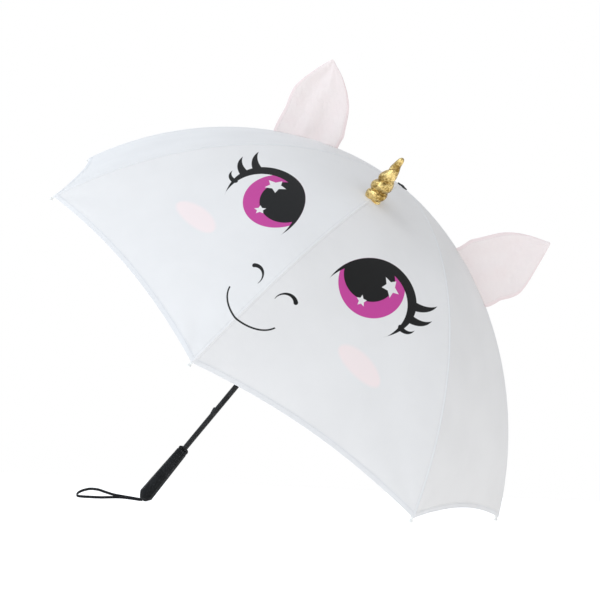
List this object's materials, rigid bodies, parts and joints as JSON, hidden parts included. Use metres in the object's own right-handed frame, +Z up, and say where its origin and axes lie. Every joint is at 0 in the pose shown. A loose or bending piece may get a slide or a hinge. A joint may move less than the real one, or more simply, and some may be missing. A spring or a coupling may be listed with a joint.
{
  "type": "umbrella",
  "caption": "Child's open stick umbrella with an animal face on its pale canopy, two fabric ears, a gold horn, a sliding runner, a straight handle and a wrist strap.",
  "frame": {"origin": "on the floor that the open umbrella stands on, under the middle of its bounding box", "axes": "+Z up; +X from the handle towards the canopy; +Y level, away from the side with the face"},
  "size_m": [0.6917, 0.718, 0.6049],
  "materials": {
    "cloth": "woven, slight sheen",
    "blush": "soft woven",
    "gold": "metallic lame",
    "steel": "satin black",
    "plastic": "satin black",
    "white": "gloss",
    "strap": "matte braid"
  },
  "bodies": {
    "stick": {"shaft": "steel", "top_cap": "plastic", "crown": "plastic", "handle": "plastic", "strap_plug": "plastic", "wrist_strap": "strap"},
    "runner": {"runner": "plastic"},
    "top_catch": {"top_catch": "steel"},
    "bottom_catch": {"bottom_catch": "steel"},
    "rib_1": {"rib_1": "steel", "tip_1": "white", "horn": "gold"},
    "stretcher_1": {"stretcher_1": "steel"},
    "flap_1_plus": {"cloth_1_plus": "cloth"},
    "flap_1_minus": {"cloth_1_minus": "cloth"},
    "rib_2": {"rib_2": "steel", "tip_2": "white"},
    "stretcher_2": {"stretcher_2": "steel"},
    "flap_2_plus": {"cloth_2_plus": "cloth"},
    "flap_2_minus": {"cloth_2_minus": "cloth"},
    "rib_3": {"rib_3": "steel", "tip_3": "white", "ear_right": "blush"},
    "stretcher_3": {"stretcher_3": "steel"},
    "flap_3_plus": {"cloth_3_plus": "cloth"},
    "flap_3_minus": {"cloth_3_minus": "cloth"},
    "rib_4": {"rib_4": "steel", "tip_4": "white"},
    "stretcher_4": {"stretcher_4": "steel"},
    "flap_4_plus": {"cloth_4_plus": "cloth"},
    "flap_4_minus": {"cloth_4_minus": "cloth"},
    "rib_5": {"rib_5": "steel", "tip_5": "white"},
    "stretcher_5": {"stretcher_5": "steel"},
    "flap_5_plus": {"cloth_5_plus": "cloth"},
    "flap_5_minus": {"cloth_5_minus": "cloth"},
    "rib_6": {"rib_6": "steel", "tip_6": "white"},
    "stretcher_6": {"stretcher_6": "steel"},
    "flap_6_plus": {"cloth_6_plus": "cloth"},
    "flap_6_minus": {"cloth_6_minus": "cloth"},
    "rib_7": {"rib_7": "steel", "tip_7": "white", "ear_left": "blush"},
    "stretcher_7": {"stretcher_7": "steel"},
    "flap_7_plus": {"cloth_7_plus": "cloth"},
    "flap_7_minus": {"cloth_7_minus": "cloth"},
    "rib_8": {"rib_8": "steel", "tip_8": "white"},
    "stretcher_8": {"stretcher_8": "steel"},
    "flap_8_plus": {"cloth_8_plus": "cloth"},
    "flap_8_minus": {"cloth_8_minus": "cloth"}
  },
  "joints": [
    {"name": "runner_slide", "type": "slide", "parent": "stick", "child": "runner", "axis": [-0.6886, 0, -0.7252], "range_m": [0, 0.2455], "deforming": ["cloth_1_plus", "cloth_1_minus", "cloth_2_plus", "cloth_2_minus", "cloth_3_plus", "cloth_3_minus", "cloth_4_plus", "cloth_4_minus", "cloth_5_plus", "cloth_5_minus", "cloth_6_plus", "cloth_6_minus", "cloth_7_plus", "cloth_7_minus", "cloth_8_plus", "cloth_8_minus"]},
    {"name": "top_catch_press", "type": "slide", "parent": "stick", "child": "top_catch", "axis": [0.7252, 0, -0.6886], "range_m": [0, 0.002], "stiffness_N_per_m": 900},
    {"name": "bottom_catch_press", "type": "slide", "parent": "stick", "child": "bottom_catch", "axis": [0.7252, 0, -0.6886], "range_m": [0, 0.002], "stiffness_N_per_m": 900},
    {"name": "rib_1_hinge", "type": "hinge", "parent": "stick", "child": "rib_1", "pos_m": [0.13368, -0.00887, 0.43099], "axis": [0.67, 0.3827, -0.6362], "range_deg": [0, 55.55]},
    {"name": "stretcher_1_hinge", "type": "hinge", "parent": "runner", "child": "stretcher_1", "pos_m": [0.04098, -0.01016, 0.33258], "axis": [-0.67, -0.3827, 0.6362], "range_deg": [0, 51.39]},
    {"name": "flap_1_plus_fold", "type": "hinge", "parent": "rib_1", "child": "flap_1_plus", "pos_m": [0.153, -0.02151, 0.44373], "axis": [-0.1641, -0.7594, -0.6296], "range_deg": [0, 82.71]},
    {"name": "flap_1_minus_fold", "type": "hinge", "parent": "rib_1", "child": "flap_1_minus", "pos_m": [0.153, -0.02151, 0.44373], "axis": [0.1641, 0.7594, 0.6296], "range_deg": [0, 82.71]},
    {"name": "rib_2_hinge", "type": "hinge", "parent": "stick", "child": "rib_2", "pos_m": [0.13745, -0.00367, 0.42741], "axis": [0.2775, 0.9239, -0.2635], "range_deg": [0, 55.55]},
    {"name": "stretcher_2_hinge", "type": "hinge", "parent": "runner", "child": "stretcher_2", "pos_m": [0.04529, -0.00421, 0.32848], "axis": [-0.2775, -0.9239, 0.2635], "range_deg": [0, 51.39]},
    {"name": "flap_2_plus_fold", "type": "hinge", "parent": "rib_2", "child": "flap_2_plus", "pos_m": [0.16214, -0.00891, 0.43506], "axis": [0.1585, -0.3145, -0.9359], "range_deg": [0, 82.71]},
    {"name": "flap_2_minus_fold", "type": "hinge", "parent": "rib_2", "child": "flap_2_minus", "pos_m": [0.16214, -0.00891, 0.43506], "axis": [-0.1585, 0.3145, 0.9359], "range_deg": [0, 82.71]},
    {"name": "rib_3_hinge", "type": "hinge", "parent": "stick", "child": "rib_3", "pos_m": [0.13745, 0.00367, 0.42741], "axis": [-0.2775, 0.9239, 0.2635], "range_deg": [0, 55.55]},
    {"name": "stretcher_3_hinge", "type": "hinge", "parent": "runner", "child": "stretcher_3", "pos_m": [0.04529, 0.00421, 0.32848], "axis": [0.2775, -0.9239, -0.2635], "range_deg": [0, 51.39]},
    {"name": "flap_3_plus_fold", "type": "hinge", "parent": "rib_3", "child": "flap_3_plus", "pos_m": [0.16214, 0.00891, 0.43506], "axis": [0.1585, 0.3145, -0.9359], "range_deg": [0, 82.71]},
    {"name": "flap_3_minus_fold", "type": "hinge", "parent": "rib_3", "child": "flap_3_minus", "pos_m": [0.16214, 0.00891, 0.43506], "axis": [-0.1585, -0.3145, 0.9359], "range_deg": [0, 82.71]},
    {"name": "rib_4_hinge", "type": "hinge", "parent": "stick", "child": "rib_4", "pos_m": [0.13368, 0.00887, 0.43099], "axis": [-0.67, 0.3827, 0.6362], "range_deg": [0, 55.55]},
    {"name": "stretcher_4_hinge", "type": "hinge", "parent": "runner", "child": "stretcher_4", "pos_m": [0.04098, 0.01016, 0.33258], "axis": [0.67, -0.3827, -0.6362], "range_deg": [0, 51.39]},
    {"name": "flap_4_plus_fold", "type": "hinge", "parent": "rib_4", "child": "flap_4_plus", "pos_m": [0.153, 0.02151, 0.44373], "axis": [-0.1641, 0.7594, -0.6296], "range_deg": [0, 82.71]},
    {"name": "flap_4_minus_fold", "type": "hinge", "parent": "rib_4", "child": "flap_4_minus", "pos_m": [0.153, 0.02151, 0.44373], "axis": [0.1641, -0.7594, 0.6296], "range_deg": [0, 82.71]},
    {"name": "rib_5_hinge", "type": "hinge", "parent": "stick", "child": "rib_5", "pos_m": [0.12835, 0.00887, 0.43605], "axis": [-0.67, -0.3827, 0.6362], "range_deg": [0, 55.55]},
    {"name": "stretcher_5_hinge", "type": "hinge", "parent": "runner", "child": "stretcher_5", "pos_m": [0.03487, 0.01016, 0.33837], "axis": [0.67, 0.3827, -0.6362], "range_deg": [0, 51.39]},
    {"name": "flap_5_plus_fold", "type": "hinge", "parent": "rib_5", "child": "flap_5_plus", "pos_m": [0.14008, 0.02151, 0.456], "axis": [-0.6203, 0.7594, -0.1964], "range_deg": [0, 82.71]},
    {"name": "flap_5_minus_fold", "type": "hinge", "parent": "rib_5", "child": "flap_5_minus", "pos_m": [0.14008, 0.02151, 0.456], "axis": [0.6203, -0.7594, 0.1964], "range_deg": [0, 82.71]},
    {"name": "rib_6_hinge", "type": "hinge", "parent": "stick", "child": "rib_6", "pos_m": [0.12459, 0.00367, 0.43962], "axis": [-0.2775, -0.9239, 0.2635], "range_deg": [0, 55.55]},
    {"name": "stretcher_6_hinge", "type": "hinge", "parent": "runner", "child": "stretcher_6", "pos_m": [0.03055, 0.00421, 0.34247], "axis": [0.2775, 0.9239, -0.2635], "range_deg": [0, 51.39]},
    {"name": "flap_6_plus_fold", "type": "hinge", "parent": "rib_6", "child": "flap_6_plus", "pos_m": [0.13094, 0.00891, 0.46468], "axis": [-0.9429, 0.3145, 0.1099], "range_deg": [0, 82.71]},
    {"name": "flap_6_minus_fold", "type": "hinge", "parent": "rib_6", "child": "flap_6_minus", "pos_m": [0.13094, 0.00891, 0.46468], "axis": [0.9429, -0.3145, -0.1099], "range_deg": [0, 82.71]},
    {"name": "rib_7_hinge", "type": "hinge", "parent": "stick", "child": "rib_7", "pos_m": [0.12459, -0.00367, 0.43962], "axis": [0.2775, -0.9239, -0.2635], "range_deg": [0, 55.55]},
    {"name": "stretcher_7_hinge", "type": "hinge", "parent": "runner", "child": "stretcher_7", "pos_m": [0.03055, -0.00421, 0.34247], "axis": [-0.2775, 0.9239, 0.2635], "range_deg": [0, 51.39]},
    {"name": "flap_7_plus_fold", "type": "hinge", "parent": "rib_7", "child": "flap_7_plus", "pos_m": [0.13094, -0.00891, 0.46468], "axis": [-0.9429, -0.3145, 0.1099], "range_deg": [0, 82.71]},
    {"name": "flap_7_minus_fold", "type": "hinge", "parent": "rib_7", "child": "flap_7_minus", "pos_m": [0.13094, -0.00891, 0.46468], "axis": [0.9429, 0.3145, -0.1099], "range_deg": [0, 82.71]},
    {"name": "rib_8_hinge", "type": "hinge", "parent": "stick", "child": "rib_8", "pos_m": [0.12835, -0.00887, 0.43605], "axis": [0.67, -0.3827, -0.6362], "range_deg": [0, 55.55]},
    {"name": "stretcher_8_hinge", "type": "hinge", "parent": "runner", "child": "stretcher_8", "pos_m": [0.03487, -0.01016, 0.33837], "axis": [-0.67, 0.3827, 0.6362], "range_deg": [0, 51.39]},
    {"name": "flap_8_plus_fold", "type": "hinge", "parent": "rib_8", "child": "flap_8_plus", "pos_m": [0.14008, -0.02151, 0.456], "axis": [-0.6203, -0.7594, -0.1964], "range_deg": [0, 82.71]},
    {"name": "flap_8_minus_fold", "type": "hinge", "parent": "rib_8", "child": "flap_8_minus", "pos_m": [0.14008, -0.02151, 0.456], "axis": [0.6203, 0.7594, 0.1964], "range_deg": [0, 82.71]}
  ],
  "couplings": [
    {"joint": "rib_1_hinge", "follows": "runner_slide", "rad_per_m": 3.9457},
    {"joint": "stretcher_1_hinge", "follows": "runner_slide", "rad_per_m": 3.6499},
    {"joint": "flap_1_plus_fold", "follows": "runner_slide", "rad_per_m": 5.8765},
    {"joint": "flap_1_minus_fold", "follows": "runner_slide", "rad_per_m": 5.8765},
    {"joint": "rib_2_hinge", "follows": "runner_slide", "rad_per_m": 3.9457},
    {"joint": "stretcher_2_hinge", "follows": "runner_slide", "rad_per_m": 3.6499},
    {"joint": "flap_2_plus_fold", "follows": "runner_slide", "rad_per_m": 5.8765},
    {"joint": "flap_2_minus_fold", "follows": "runner_slide", "rad_per_m": 5.8765},
    {"joint": "rib_3_hinge", "follows": "runner_slide", "rad_per_m": 3.9457},
    {"joint": "stretcher_3_hinge", "follows": "runner_slide", "rad_per_m": 3.6499},
    {"joint": "flap_3_plus_fold", "follows": "runner_slide", "rad_per_m": 5.8765},
    {"joint": "flap_3_minus_fold", "follows": "runner_slide", "rad_per_m": 5.8765},
    {"joint": "rib_4_hinge", "follows": "runner_slide", "rad_per_m": 3.9457},
    {"joint": "stretcher_4_hinge", "follows": "runner_slide", "rad_per_m": 3.6499},
    {"joint": "flap_4_plus_fold", "follows": "runner_slide", "rad_per_m": 5.8765},
    {"joint": "flap_4_minus_fold", "follows": "runner_slide", "rad_per_m": 5.8765},
    {"joint": "rib_5_hinge", "follows": "runner_slide", "rad_per_m": 3.9457},
    {"joint": "stretcher_5_hinge", "follows": "runner_slide", "rad_per_m": 3.6499},
    {"joint": "flap_5_plus_fold", "follows": "runner_slide", "rad_per_m": 5.8765},
    {"joint": "flap_5_minus_fold", "follows": "runner_slide", "rad_per_m": 5.8765},
    {"joint": "rib_6_hinge", "follows": "runner_slide", "rad_per_m": 3.9457},
    {"joint": "stretcher_6_hinge", "follows": "runner_slide", "rad_per_m": 3.6499},
    {"joint": "flap_6_plus_fold", "follows": "runner_slide", "rad_per_m": 5.8765},
    {"joint": "flap_6_minus_fold", "follows": "runner_slide", "rad_per_m": 5.8765},
    {"joint": "rib_7_hinge", "follows": "runner_slide", "rad_per_m": 3.9457},
    {"joint": "stretcher_7_hinge", "follows": "runner_slide", "rad_per_m": 3.6499},
    {"joint": "flap_7_plus_fold", "follows": "runner_slide", "rad_per_m": 5.8765},
    {"joint": "flap_7_minus_fold", "follows": "runner_slide", "rad_per_m": 5.8765},
    {"joint": "rib_8_hinge", "follows": "runner_slide", "rad_per_m": 3.9457},
    {"joint": "stretcher_8_hinge", "follows": "runner_slide", "rad_per_m": 3.6499},
    {"joint": "flap_8_plus_fold", "follows": "runner_slide", "rad_per_m": 5.8765},
    {"joint": "flap_8_minus_fold", "follows": "runner_slide", "rad_per_m": 5.8765}
  ]
}
